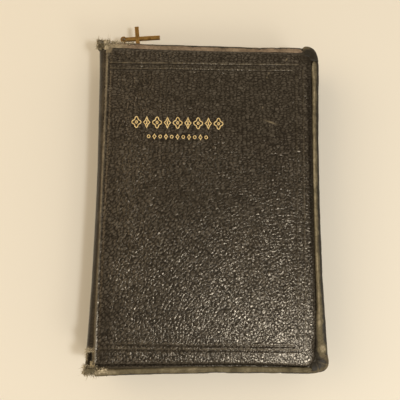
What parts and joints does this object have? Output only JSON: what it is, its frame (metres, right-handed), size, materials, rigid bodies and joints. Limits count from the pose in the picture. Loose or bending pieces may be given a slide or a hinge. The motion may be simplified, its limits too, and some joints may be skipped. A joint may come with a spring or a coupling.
{
  "type": "bible",
  "caption": "Zip-around leather-bound bible lying flat, with gilt front ornament, sewn signatures and a small cross zipper pull",
  "frame": {"origin": "middle of the back cover's outer face, which rests on the table", "axes": "+Z from the back cover up to the front cover, +Y to the head of the book, +X from the spine to the fore edge"},
  "size_m": [0.1338, 0.2118, 0.0311],
  "materials": {
    "case_leather": "pebble-grained dark brown-black goatskin, satin",
    "edge_leather": "rolled leather edge worn back to tan",
    "lining_leather": "smooth black leather lining",
    "board": "flexible grey-brown card",
    "tape_cloth": "woven dark brown cotton zipper tape",
    "thread": "waxed dark linen thread",
    "brass": "dull tarnished brass",
    "gilt": "stamped gold foil",
    "page_paper": "thin cream printing paper with aged edges",
    "flyleaf_paper": "heavier cream endpaper",
    "liner_paper": "brown kraft paper",
    "binding_cloth": "open-weave book cloth and linen tape",
    "band_cloth": "striped red and cream silk end band"
  },
  "bodies": {
    "case": {"back_cover_leather": "case_leather", "back_cover_board": "board", "back_cover_lining": "lining_leather", "back_edge_welt": "edge_leather", "back_stitching": "thread", "back_zipper_tape": "tape_cloth", "back_zipper_teeth": "brass", "back_zipper_stops": "brass", "head_end_gusset": "edge_leather", "tail_end_gusset": "edge_leather", "spine_leather": "case_leather", "spine_stiffener": "board", "spine_liner": "liner_paper", "spine_mull": "binding_cloth", "sewing_tapes": "binding_cloth", "head_band": "band_cloth", "tail_band": "band_cloth", "back_flyleaf": "flyleaf_paper", "signature_03": "page_paper", "signature_04": "page_paper", "signature_05": "page_paper", "signature_06": "page_paper", "signature_07": "page_paper", "signature_08": "page_paper", "signature_09": "page_paper", "signature_10": "page_paper"},
    "front_cover": {"front_cover_leather": "case_leather", "front_cover_board": "board", "front_cover_lining": "lining_leather", "front_edge_welt": "edge_leather", "front_stitching": "thread", "front_zipper_tape": "tape_cloth", "front_zipper_teeth": "brass", "front_zipper_stops": "brass", "gilt_ornament": "gilt"},
    "flyleaf": {"front_flyleaf": "flyleaf_paper"},
    "first_leaves": {"signature_01": "page_paper"},
    "second_leaves": {"signature_02": "page_paper"},
    "slider": {"slider_body": "brass", "slider_bail": "brass"},
    "ring": {"pull_ring": "brass"},
    "cross": {"cross_pull": "brass"}
  },
  "joints": [
    {"name": "cover_hinge", "type": "hinge", "parent": "case", "child": "front_cover", "pos_m": [-0.062, 0, 0.031], "axis": [0, -1, 0], "range_deg": [0, 180]},
    {"name": "flyleaf_turn", "type": "hinge", "parent": "case", "child": "flyleaf", "pos_m": [-0.062, 0, 0.031], "axis": [0, -1, 0], "range_deg": [0, 178]},
    {"name": "first_leaves_turn", "type": "hinge", "parent": "case", "child": "first_leaves", "pos_m": [-0.062, 0, 0.031], "axis": [0, -1, 0], "range_deg": [0, 172]},
    {"name": "second_leaves_turn", "type": "hinge", "parent": "case", "child": "second_leaves", "pos_m": [-0.062, 0, 0.031], "axis": [0, -1, 0], "range_deg": [0, 164]},
    {"name": "slider_run", "type": "slide", "parent": "case", "child": "slider", "axis": [1, 0, 0], "range_m": [0, 0.099]},
    {"name": "ring_swing", "type": "hinge", "parent": "slider", "child": "ring", "pos_m": [-0.054, 0.0977, 0.0155], "axis": [0, 0, 1], "range_deg": [-8, 30]},
    {"name": "cross_swing", "type": "hinge", "parent": "ring", "child": "cross", "pos_m": [-0.054, 0.1064, 0.0155], "axis": [0, 0, 1], "range_deg": [-4, 90]}
  ],
  "couplings": [
    {"joint": "flyleaf_turn", "follows": "cover_hinge", "ratio": 0.98},
    {"joint": "first_leaves_turn", "follows": "cover_hinge", "ratio": 0.94},
    {"joint": "second_leaves_turn", "follows": "cover_hinge", "ratio": 0.9}
  ]
}
